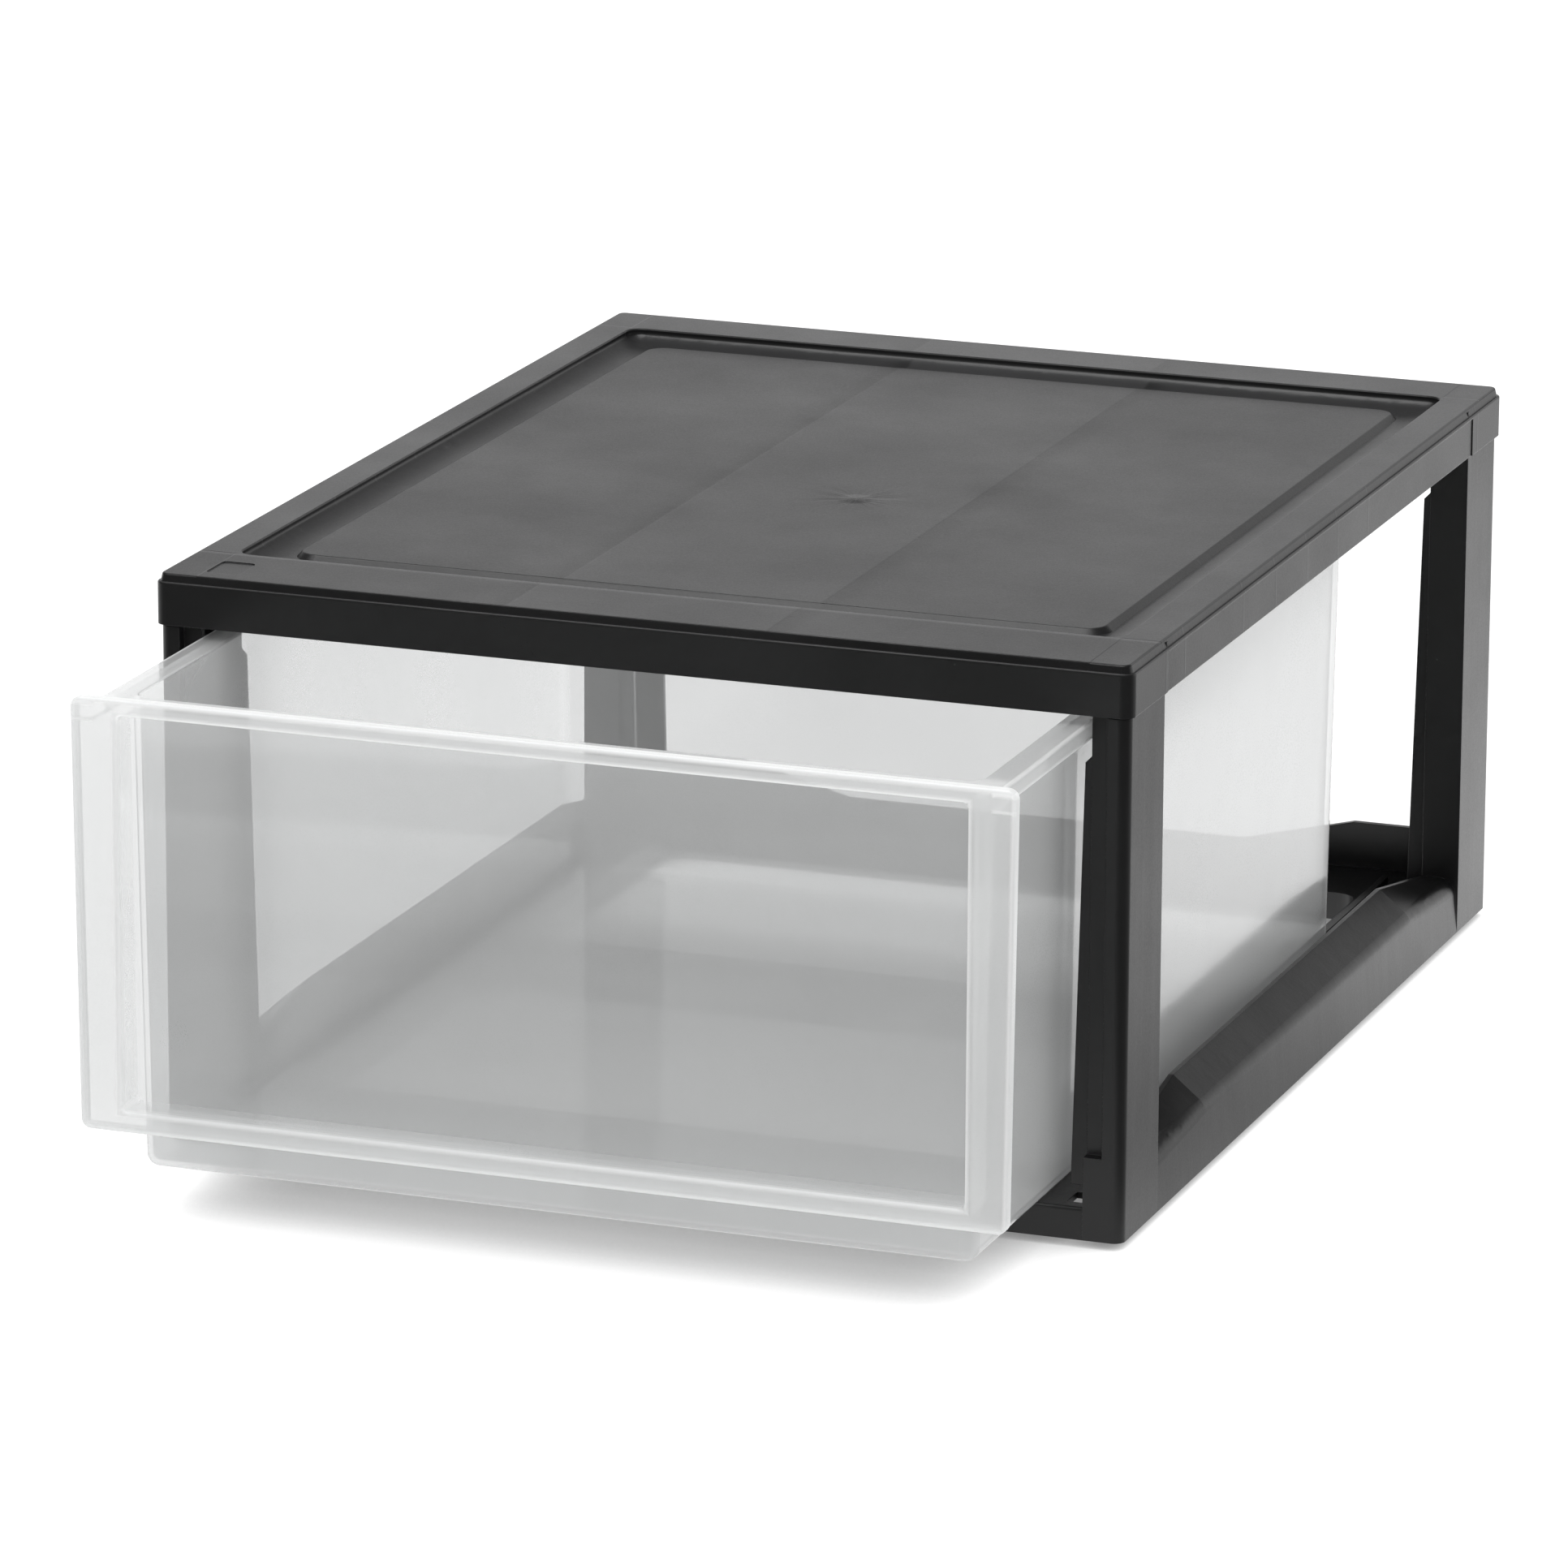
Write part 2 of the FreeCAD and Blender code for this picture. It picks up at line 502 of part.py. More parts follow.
def rail_hollow(crest):
    """Outline of the hollow under a side rail."""
    outer = f"{POST_SIDE} - Sizes.base_wall"
    inner = f"{CREST_INNER} + Sizes.base_wall"
    return [
        (outer, "Sizes.foot_drop - Sizes.overrun"),
        (f"{outer} - Sizes.rail_lean", "Sizes.foot_drop + Sizes.rail_rise - Sizes.rail_skin"),
        (inner, f"Sizes.foot_drop + {crest} - Sizes.rail_skin"),
        (inner, "Sizes.foot_drop - Sizes.overrun"),
    ]


def build_rails(body):
    """Side rails, whose slope dips beside the posts, and their hollows."""
    crest = size("crest_rise")
    dip = size("crest_dip")
    start = f"({POST_BACK} - Sizes.crest_run)"
    for kind, outline, reach in (
        ("Additive", rail_outline, f"({POST_BACK} + Sizes.post_wall / 2)"),
        ("Subtractive", rail_hollow, f"({POST_BACK} - Sizes.overrun / 2)"),
    ):
        places = [(f"-{reach}", dip), (f"-{start}", crest), (start, crest), (reach, dip)]
        for sign, side in zip(SIGNS, ("left", "right")):
            name = f"{side}_rail" if kind == "Additive" else f"{side}_rail_hollow"
            sections = [
                rail_section(body, f"{name}_{step}", place, (sign,), outline(height))
                for step, (place, height) in enumerate(places)
            ]
            if kind == "Additive":
                for section in sections:
                    round_corner(section, 0, size("rail_edge"))
            rail = body.newObject(f"PartDesign::{kind}Loft", name)
            rail.Profile = sections[0]
            rail.Sections = sections[1:]
            rail.Ruled = True
            doc.recompute()


def build_back_wall(body):
    """Low wall at the back, lower in its middle."""
    reach = f"({POST_INNER} + Sizes.post_wall)"
    shoulder = f"({HALF_WIDTH} - Sizes.back_shoulder)"
    foot = f"({shoulder} - Sizes.back_run)"
    high = "Sizes.foot_drop + Sizes.back_rise"
    low = "Sizes.foot_drop + Sizes.back_dip"
    sketch = new_sketch(body, "back_wall_outline", "XZ_Plane", f"-({POST_END} - Sizes.rail_lean)")
    polygon(sketch, [
        (f"-{reach}", FLOOR_BOTTOM),
        (reach, FLOOR_BOTTOM),
        (reach, high),
        (shoulder, high),
        (foot, low),
        (f"-{foot}", low),
        (f"-{shoulder}", high),
        (f"-{reach}", high),
    ])
    extrude(body, "Pad", "back_wall", sketch, size("back_wall"))


def build_posts(body):
    """Four corner posts: channels open to the inside, with a narrower head that goes up into the cover."""
    wall = size("post_wall")
    spans = four_corners((POST_INNER, POST_SIDE), (POST_BACK, POST_END))
    blocks(body, "Pad", "posts", spans, (GROUND_GAP, RIM_BOTTOM))
    post_side = number(POST_SIDE)
    post_end = number(POST_END)
    tall = number(f"{RIM_BOTTOM} - {FLOOR_TOP}")
    at_rim = level(RIM_BOTTOM)

    def outer_corner(box):
        outermost = near(abs(box.Center.x), post_side) and near(abs(box.Center.y), post_end)
        return outermost and box.ZLength > tall

    def shoulder(box):
        outer_side = near(abs(box.Center.x), post_side)
        outer_end = near(abs(box.Center.y), post_end)
        bend = box.XLength > NEAR and box.YLength > NEAR
        return at_rim(box) and (outer_side or outer_end or bend)

    round_edges(body, "Fillet", "post_rounding", size("post_corner"), outer_corner)
    round_edges(body, "Chamfer", "shoulder_bevel", size("head_bevel"), shoulder)

    side = f"{HALF_WIDTH} - Sizes.rim_wall - Sizes.head_gap"
    end = f"{HALF_DEPTH} - Sizes.rim_wall - Sizes.head_gap"
    inner = f"{RECESS_SIDE} + Sizes.cover_skin + Sizes.head_gap"
    corner = "Sizes.post_corner + Sizes.post_inset - Sizes.rim_wall - Sizes.head_gap"
    heads = new_sketch(body, "post_heads_outline", "XY_Plane", f"{RIM_BOTTOM} - {wall}")
    for sign, way, outer in ((-1, -1, 3), (-1, 1, 2), (1, -1, 0), (1, 1, 1)):
        first = heads.GeometryCount
        rectangle(heads, facing(sign, inner, side), facing(way, POST_BACK, end))
        round_corner(heads, first + outer, corner)
    extrude(body, "Pad", "post_heads", heads, f"{COVER_INNER} - {RIM_BOTTOM} + {wall}")
    across = (f"{POST_INNER} - Sizes.overrun", f"{POST_SIDE} - {wall}")
    spans = []
    for way, plate in ((-1, f"({wall} + Sizes.seat_depth)"), (1, wall)):
        along = facing(way, f"{POST_BACK} + {wall}", f"{POST_END} - {plate}")
        spans += both_sides(*across, along)
    blocks(body, "Pocket", "post_channels", spans, (FLOOR_TOP, f"{COVER_INNER} + Sizes.overrun"))
    across = (POST_INNER, f"{POST_SIDE} - Sizes.base_wall")
    spans = four_corners(across, (POST_BACK, f"{POST_END} - Sizes.base_wall"))
    blocks(body, "Pocket", "post_hollows", spans, (GROUND_GAP, FLOOR_BOTTOM))
    gap = size("socket_gap")
    half = f"(Sizes.catch_width / 2 + {gap})"
    across = (f"{POST_SIDE} - {wall} - {gap}", f"{POST_SIDE} + Sizes.overrun")
    spans = four_corners(across, (f"{POST_MIDDLE} - {half}", f"{POST_MIDDLE} + {half}"))
    upward = (f"{CATCH_TOP} - Sizes.catch_height - {gap}", f"{CATCH_TOP} + {gap}")
    blocks(body, "Pocket", "catch_windows", spans, upward)

    # Seat for the drawer's flange in the front posts
    along = (f"-({POST_END} + Sizes.overrun)", f"-({POST_END} - Sizes.seat_depth)")
    spans = both_sides(f"{POST_INNER} - Sizes.overrun", f"{POST_INNER} + Sizes.seat_width", along)
    blocks(body, "Pocket", "flange_seats", spans, ("Sizes.foot_drop + Sizes.seat_rise", RIM_BOTTOM))


def build_guides(body):
    """Upright guides beside the drawer, two on each post, with a hole in the floor under each front one."""
    foot = f"({BOX_HALF} - Sizes.box_draft + Sizes.guide_low)"
    root = f"({POST_INNER} + Sizes.post_wall)"
    low = "Sizes.foot_drop + Sizes.guide_foot"
    high = f"({RIM_BOTTOM} - Sizes.guide_drop)"
    outline = [
        (foot, low),
        (f"{foot} + Sizes.guide_lean", high),
        (POST_INNER, f"{high} + Sizes.guide_bevel"),
        (root, f"{high} + Sizes.guide_bevel"),
        (root, low),
    ]
    wall = size("post_wall")
    front = f"(-({POST_END} - Sizes.seat_depth - {wall}) + Sizes.guide_wall)"
    places = [
        front,
        f"-({POST_BACK} + {wall})",
        f"{POST_BACK} + {wall} + Sizes.guide_wall",
        f"{POST_END} - {wall}",
    ]
    for step, place in enumerate(places):
        sketch = rail_section(body, f"guides_{step}_outline", place, SIGNS, outline)
        extrude(body, "Pad", f"guides_{step}", sketch, size("guide_wall"))
    along = (f"{front} - Sizes.guide_wall", f"{front} - Sizes.guide_wall + Sizes.pocket_length")
    spans = both_sides(f"{foot} - Sizes.guide_wall / 2", POST_INNER, along)
    upward = (f"{FLOOR_BOTTOM} - Sizes.overrun", f"{FLOOR_TOP} + Sizes.overrun")
    blocks(body, "Pocket", "guide_holes", spans, upward)


def build_floor(body):
    """Openings in the floor with a skirt round each, runners for the drawer, and the locating feet."""
    side = f"({CREST_INNER} - Sizes.strip_side)"
    end = f"({POST_END} - Sizes.strip_end)"
    bar = "(Sizes.cross_bar / 2)"
    grow = size("base_wall")
    skirt_foot = f"({FLOOR_BOTTOM} - Sizes.opening_skirt)"
    openings = [(f"-{end}", f"-{bar}"), (bar, end)]
    skirts = new_sketch(body, "skirts_outline", "XY_Plane", skirt_foot)
    holes = new_sketch(body, "openings_outline", "XY_Plane", skirt_foot)
    for low, high in openings:
        across = (f"-({side} + {grow})", f"{side} + {grow}")
        along = (f"{low} - {grow}", f"{high} + {grow}")
        rounded_rectangle(skirts, across, along, f"Sizes.opening_corner + {grow}")
        rounded_rectangle(holes, (f"-{side}", side), (low, high), size("opening_corner"))
    extrude(body, "Pad", "skirts", skirts, size("opening_skirt"))
    extrude(body, "Pocket", "openings", holes, f"{FLOOR_TOP} - {skirt_foot}", backwards=True)

    middle = f"({HALF_WIDTH} - Sizes.runner_place)"
    half = "Sizes.runner_width / 2"
    along = (f"-({POST_END} - Sizes.seat_depth)", f"{POST_END} - Sizes.strip_end / 2")
    spans = both_sides(f"{middle} - {half}", f"{middle} + {half}", along)
    upward = (f"{FLOOR_TOP} - Sizes.floor_skin / 2", f"{DRAWER_BOTTOM} - Sizes.running_gap")
    blocks(body, "Pad", "runners", spans, upward)

    outer = f"({RECESS_SIDE} - Sizes.foot_gap)"
    wall = size("foot_wall")
    corner = "Sizes.recess_corner - Sizes.foot_gap"
    front = f"({RECESS_FRONT} + Sizes.foot_gap)"
    back = f"({RECESS_BACK} - Sizes.foot_gap)"
    feet = new_sketch(body, "feet_outline", "XY_Plane", "0")
    hollows = new_sketch(body, "foot_hollows_outline", "XY_Plane", "0")
    for low, high in ((front, f"{front} + Sizes.foot_length"), (f"{back} - Sizes.foot_length", back)):
        for sign in SIGNS:
            rounded_rectangle(feet, facing(sign, f"{outer} - Sizes.foot_width", outer), (low, high), corner)
            across = facing(sign, f"{outer} - Sizes.foot_width + {wall}", f"{outer} - {wall}")
            rounded_rectangle(hollows, across, (f"{low} + {wall}", f"{high} - {wall}"), f"{corner} - {wall}")
    extrude(body, "Pad", "feet", feet, f"{FLOOR_BOTTOM} + Sizes.floor_skin / 2")
    extrude(body, "Pocket", "foot_hollows", hollows, FLOOR_BOTTOM, backwards=True)


def build_base():
    """Base frame: floor, rails, back wall, posts and guides in one piece."""
    body = new_body("base_frame", FRAME_SHIFT)
    build_tray(body)
    build_rails(body)
    build_back_wall(body)
    build_posts(body)
    build_guides(body)
    build_floor(body)
    return body


def build_flange(body):
    """Flange across the front of the drawer, with its edge turned back."""
    low = FLANGE_LOW
    high = FLANGE_HIGH
    foot = f"({FLANGE_HALF} - Sizes.flange_lean)"
    head = FLANGE_HALF
    wall = size("flange_skin")
    plane = f"-({FLANGE_FACE} + Sizes.flange_depth)"
    outline = new_sketch(body, "flange_outline", "XZ_Plane", plane)
    polygon(outline, [(f"-{foot}", low), (foot, low), (head, high), (f"-{head}", high)])
    extrude(body, "Pad", "flange", outline, size("flange_depth"))
    deep = number("Sizes.flange_depth")
    round_edges(
        body, "Fillet", "flange_corners", size("flange_corner"),
        lambda box: near(box.YLength, deep) and near(box.ZLength, 0),
    )
    face = number(FLANGE_FACE)
    round_edges(
        body, "Fillet", "flange_rounding", size("flange_edge"),
        lambda box: near(box.YMax, face),
    )
    hollow = new_sketch(body, "flange_hollow_outline", "XZ_Plane", plane)
    polygon(hollow, [
        (f"-({foot} - {wall})", f"{low} + {wall}"),
        (f"{foot} - {wall}", f"{low} + {wall}"),
        (f"{head} - {wall}", f"{high} - {wall}"),
        (f"-({head} - {wall})", f"{high} - {wall}"),
    ])
    extrude(body, "Pocket", "flange_hollow", hollow, f"Sizes.flange_depth - {wall}", backwards=True)


def build_lip(body):
    """Turned-down rim of the drawer, which starts at the flange."""
    outer = LIP_HALF
    inner = f"({outer} - Sizes.lip_skin)"
    back = f"({BOX_BACK} + Sizes.lip_reach)"
    start = f"({FLANGE_FACE} - Sizes.lip_corner - Sizes.overrun)"
    low = f"({DRAWER_TOP} - Sizes.lip_depth)"
    slab(body, "Pad", "lip", ((f"-{outer}", outer), (start, back), size("lip_corner")), (low, DRAWER_TOP))
    across = (f"-({outer} + Sizes.overrun)", f"{outer} + Sizes.overrun")
    span = (across, (f"{start} - Sizes.overrun", FLANGE_FACE))
    blocks(body, "Pocket", "lip_trim", [span], (f"{low} - Sizes.overrun", f"{DRAWER_TOP} + Sizes.overrun"))
    begin = number(f"{FLANGE_FACE} + Sizes.flange_depth")
    at_top = level(DRAWER_TOP)
    round_edges(
        body, "Fillet", "lip_rounding", size("lip_edge"),
        lambda box: at_top(box) and box.YMax > begin + NEAR,
    )
    across = (f"-{inner}", inner)
    along = (f"{FLANGE_FACE} + Sizes.flange_skin", f"{back} - Sizes.lip_skin")
    outline = (across, along, "Sizes.lip_corner - Sizes.lip_skin")
    slab(body, "Pocket", "lip_hollow", outline, (low, f"{DRAWER_TOP} - Sizes.lip_skin"))


def box_outline(lean, inset):
    """Rounded outline of the drawer box, drawn in by a lean and an inset."""
    side = f"{BOX_HALF} - {lean} - {inset}"
    along = (f"{BOX_FRONT} + {lean} + {inset}", f"{BOX_BACK} - {lean} - {inset}")
    return ((f"-({side})", side), along, f"Sizes.box_corner - {lean} - {inset}")


def build_box(body):
    """Box of the drawer, and the sleeve that joins its front wall to the flange."""
    draft = size("box_draft")
    wall = size("box_wall")
    slab(body, "Pad", "box", box_outline(draft, "0"), (DRAWER_BOTTOM, DRAWER_TOP), draft)
    round_edges(body, "Fillet", "box_rounding", size("box_edge"), level(DRAWER_BOTTOM))
    half = f"({WINDOW_HALF} + {wall})"
    along = (f"{FLANGE_FACE} + Sizes.flange_skin / 2", f"{BOX_FRONT} + {draft} + {wall}")
    low = f"{WINDOW_LOW} - {wall}"
    blocks(body, "Pad", "sleeve", [((f"-{half}", half), along)], (low, f"{DRAWER_TOP} - Sizes.lip_edge"))
    rise = f"({DRAWER_TOP} - {DRAWER_BOTTOM})"
    shrink = f"({draft} * ({rise} - Sizes.box_floor) / {rise})"
    upward = (f"{DRAWER_BOTTOM} + Sizes.box_floor", DRAWER_TOP)
    slab(body, "Pocket", "box_inside", box_outline(shrink, wall), upward, shrink)
    floor = f"{DRAWER_BOTTOM} + Sizes.box_floor"
    round_edges(body, "Fillet", "box_inside_rounding", "Sizes.box_edge - Sizes.box_floor", level(floor))
    reach = number(f"{BOX_HALF} - {wall}")
    at_top = level(DRAWER_TOP)
    round_edges(
        body, "Fillet", "mouth_rounding", size("box_mouth"),
        lambda box: at_top(box) and max(abs(box.XMin), abs(box.XMax)) < reach + NEAR,
    )


def build_window(body):
    """Window set back from the flange, down to the box's leaning front wall, and the flange's inner edge."""
    rise = f"({DRAWER_TOP} - {DRAWER_BOTTOM})"
    window = new_sketch(body, "window_outline", "YZ_Plane", f"-{WINDOW_HALF}")
    polygon(window, [
        (f"{FLANGE_FACE} - Sizes.overrun", WINDOW_LOW),
        (f"{BOX_FRONT} + Sizes.box_draft * ({DRAWER_TOP} - {WINDOW_LOW}) / {rise}", WINDOW_LOW),
        (f"{BOX_FRONT} + Sizes.box_draft * ({DRAWER_TOP} - {WINDOW_HIGH}) / {rise}", WINDOW_HIGH),
        (f"{FLANGE_FACE} - Sizes.overrun", WINDOW_HIGH),
    ])
    extrude(body, "Pocket", "window", window, f"2 * {WINDOW_HALF}", backwards=True)
    half = number(WINDOW_HALF)
    face = number(FLANGE_FACE)
    skin = number("Sizes.flange_skin")
    round_edges(
        body, "Fillet", "window_corners", size("window_corner"),
        lambda box: near(abs(box.Center.x), half) and near(box.YMin, face) and box.YLength > skin,
    )
    round_edges(
        body, "Fillet", "window_rounding", size("window_edge"),
        lambda box: near(box.YMax, face) and max(abs(box.XMin), abs(box.XMax)) < half + NEAR,
    )


def build_drawer():
    """Drawer: front flange, turned-down rim, box, set-back window and stop lugs."""
    body = new_body("drawer", "-(Sizes.drawer_out + Sizes.post_inset) / 2")
    build_flange(body)
    build_lip(body)
    build_box(body)
    build_window(body)

    # Stop lugs on the back of the rim
    half = "Sizes.lug_width / 2"
    along = (BOX_BACK, f"{BOX_BACK} + Sizes.lug_length")
    spans = both_sides(f"{LUG_MIDDLE} - {half}", f"{LUG_MIDDLE} + {half}", along)
    upward = (f"{DRAWER_TOP} - Sizes.lip_skin / 2", f"{DRAWER_TOP} + Sizes.lug_height")
    blocks(body, "Pad", "stop_lugs", spans, upward)
    return body


pieces = [build_cover(), build_base(), build_drawer()]
doc.recompute()
for item in doc.Objects:
    if "Invalid" in item.State or "Error" in item.State:
        raise RuntimeError(f"{item.Label} did not compute: {item.State}")
os.makedirs("parts", exist_ok=True)
for piece in pieces:
    if piece.Shape.isNull() or not piece.Shape.isValid() or len(piece.Shape.Solids) != 1:
        raise RuntimeError(f"{piece.Label} is not one valid solid")
    piece.Shape.exportStep(f"parts/{piece.Label}.step")
    print(piece.Label, round(piece.Shape.Volume), piece.Shape.BoundBox)
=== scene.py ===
import math

import bpy
from mathutils import Euler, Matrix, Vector

# Stackable drawer box: looks of a matte black frame and cover with a translucent drawer.
# Lengths are metres in the frame of the parts: +Z up, -Y out of the drawer's front, +X to the right.

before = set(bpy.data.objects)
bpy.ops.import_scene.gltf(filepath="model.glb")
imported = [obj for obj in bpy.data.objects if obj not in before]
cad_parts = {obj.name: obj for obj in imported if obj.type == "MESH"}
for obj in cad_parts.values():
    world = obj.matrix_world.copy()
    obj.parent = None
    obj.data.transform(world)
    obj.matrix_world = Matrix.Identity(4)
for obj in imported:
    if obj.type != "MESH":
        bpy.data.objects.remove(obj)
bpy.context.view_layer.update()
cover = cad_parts["top_cover"]
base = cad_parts["base_frame"]
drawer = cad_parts["drawer"]


# Node helpers

def link_value(tree, socket, value):
    """Links an output to a socket, or sets the socket to a constant."""
    if isinstance(value, bpy.types.NodeSocket):
        tree.links.new(value, socket)
    else:
        socket.default_value = value


def add(tree, kind, inputs=(), **settings):
    """Node of a kind, with settings and with its inputs given as (name or number, value) pairs."""
    made = tree.nodes.new(kind)
    for name, value in settings.items():
        setattr(made, name, value)
    for key, value in inputs:
        link_value(tree, made.inputs[key], value)
    return made


def math_node(tree, operation, first, second=0.0, third=0.0, clamp=False):
    """Result of a maths operation on up to three values."""
    inputs = [(0, first), (1, second), (2, third)]
    return add(tree, "ShaderNodeMath", inputs, operation=operation, use_clamp=clamp).outputs[0]


def times(tree, first, second):
    """Product of two values."""
    return math_node(tree, "MULTIPLY", first, second)


def flipped(tree, mask):
    """One minus a mask."""
    return math_node(tree, "SUBTRACT", 1.0, mask)


def total(tree, values):
    """Sum of values."""
    result = values[0]
    for value in values[1:]:
        result = math_node(tree, "ADD", result, value)
    return result


def weighted(tree, pairs):
    """Sum of values, each times its weight."""
    return total(tree, [times(tree, value, weight) for value, weight in pairs])


def least(tree, values):
    """Least of values."""
    result = values[0]
    for value in values[1:]:
        result = math_node(tree, "MINIMUM", result, value)
    return result


def remap(tree, value, low, high, new_low=0.0, new_high=1.0, smooth=False):
    """Value mapped from one range to another, held inside it."""
    inputs = [(0, value), (1, low), (2, high), (3, new_low), (4, new_high)]
    kind = "SMOOTHSTEP" if smooth else "LINEAR"
    return add(tree, "ShaderNodeMapRange", inputs, interpolation_type=kind).outputs[0]


def rise(tree, value, centre, width):
    """Smooth step from zero to one across a width about a centre."""
    return remap(tree, value, centre - width / 2, centre + width / 2, smooth=True)


def stripe(tree, value, centre, half_width):
    """One at a centre, falling smoothly to zero a half width away on both sides."""
    distance = math_node(tree, "ABSOLUTE", math_node(tree, "SUBTRACT", value, centre))
    return remap(tree, distance, 0.0, half_width, 1.0, 0.0, smooth=True)


def noise(tree, place, scale, detail=2.0, roughness=0.5, distortion=0.0):
    """Noise value around 0.5 at a place."""
    inputs = [("Vector", place), ("Scale", scale), ("Detail", detail), ("Roughness", roughness)]
    inputs.append(("Distortion", distortion))
    return add(tree, "ShaderNodeTexNoise", inputs).outputs["Fac"]


def stretched(tree, place, scale, turn=(0.0, 0.0, 0.0)):
    """Place turned, then stretched by a scale on each axis."""
    inputs = [("Vector", place), ("Rotation", turn), ("Scale", scale)]
    return add(tree, "ShaderNodeMapping", inputs).outputs[0]


def object_place(tree):
    """Object coordinates."""
    return add(tree, "ShaderNodeTexCoord").outputs["Object"]


def split(tree, vector):
    """X, Y and Z of a vector."""
    parts = add(tree, "ShaderNodeSeparateXYZ", [(0, vector)])
    return parts.outputs["X"], parts.outputs["Y"], parts.outputs["Z"]


def facing(tree, axis, low=0.6, high=0.9):
    """Mask of the faces whose normal points along an axis."""
    normal = add(tree, "ShaderNodeSeparateXYZ", [(0, add(tree, "ShaderNodeTexCoord").outputs["Normal"])])
    return remap(tree, normal.outputs[axis], low, high)


def new_group(name, inputs, outputs):
    """Empty node group with its sockets, given as (name, kind) pairs."""
    tree = bpy.data.node_groups.new(name, "ShaderNodeTree")
    for label, kind in inputs:
        tree.interface.new_socket(label, in_out="INPUT", socket_type=f"NodeSocket{kind}")
    for label, kind in outputs:
        tree.interface.new_socket(label, in_out="OUTPUT", socket_type=f"NodeSocket{kind}")
    return tree, tree.nodes.new("NodeGroupInput"), tree.nodes.new("NodeGroupOutput")


def use_group(tree, group, inputs=()):
    """Node that applies a group."""
    made = tree.nodes.new("ShaderNodeGroup")
    made.node_tree = group
    for key, value in inputs:
        link_value(tree, made.inputs[key], value)
    return made


def new_material(name):
    """Material with an empty node tree and its output node."""
    made = bpy.data.materials.new(name)
    made.use_nodes = True
    made.node_tree.nodes.clear()
    return made, made.node_tree, made.node_tree.nodes.new("ShaderNodeOutputMaterial")


# Shared effects

GRAIN_COARSE = 0.000028
GRAIN_FINE = 0.000008


def grain_group():
    """Fine spark-eroded grain: height in metres from two sizes of noise, and a change of roughness."""
    outputs = [("Height", "Float"), ("Roughness", "Float")]
    tree, given, result = new_group("fine_grain", [("Place", "Vector")], outputs)
    place = given.outputs["Place"]
    fine = noise(tree, place, 1700.0, 2.0, 0.6)
    coarse = noise(tree, place, 480.0, 3.0, 0.55)
    broad = noise(tree, place, 14.0, 4.0, 0.6)
    height = weighted(tree, [(coarse, GRAIN_COARSE), (fine, GRAIN_FINE)])
    link_value(tree, result.inputs["Height"], height)
    fine_change = remap(tree, fine, 0.3, 0.7, -0.04, 0.04)
    broad_change = remap(tree, broad, 0.3, 0.7, -0.03, 0.03)
    link_value(tree, result.inputs["Roughness"], total(tree, [fine_change, broad_change]))
    return tree


def edge_group():
    """Mask of outer and inner edges: how far a rounded normal turns from the true one within a radius."""
    outputs = [("Edge", "Float"), ("Normal", "Vector")]
    tree, given, result = new_group("edges", [("Radius", "Float")], outputs)
    bevel = add(tree, "ShaderNodeBevel", [("Radius", given.outputs["Radius"])], samples=6)
    true_normal = add(tree, "ShaderNodeNewGeometry").outputs["Normal"]
    pair = [(0, bevel.outputs[0]), (1, true_normal)]
    alike = add(tree, "ShaderNodeVectorMath", pair, operation="DOT_PRODUCT")
    link_value(tree, result.inputs["Edge"], remap(tree, alike.outputs["Value"], 0.998, 0.9))
    link_value(tree, result.inputs["Normal"], bevel.outputs[0])
    return tree


def wear_group():
    """Traces of handling: faint scratches as thin stretched noise in patches, and dust as soft spots."""
    outputs = [("Scratch", "Float"), ("Dust", "Float")]
    tree, given, result = new_group("light_wear", [("Place", "Vector")], outputs)
    place = given.outputs["Place"]
    along = stretched(tree, place, (4.0, 90.0, 40.0), (0.0, 0.0, 0.5))
    lines = remap(tree, noise(tree, along, 9.0, 3.0, 0.7, 0.4), 0.66, 0.72)
    patches = remap(tree, noise(tree, place, 22.0, 2.0), 0.5, 0.62)
    link_value(tree, result.inputs["Scratch"], times(tree, lines, patches))
    specks = add(tree, "ShaderNodeTexVoronoi", [("Vector", place), ("Scale", 90.0)])
    speck = remap(tree, specks.outputs["Distance"], 0.05, 0.02)
    rare = remap(tree, noise(tree, place, 35.0, 2.0), 0.64, 0.7)
    link_value(tree, result.inputs["Dust"], times(tree, speck, rare))
    return tree


GRAIN = grain_group()
EDGES = edge_group()
WEAR = wear_group()


# Frame plastic

FRAME_ROUGH = 0.34
FRAME_DARK = (0.005, 0.005, 0.0052, 1.0)
FRAME_PALE = (0.09, 0.09, 0.092, 1.0)
EDGE_RADIUS = 0.0004
SWELL = 0.00006
SCRATCH_DEPTH = 0.000006


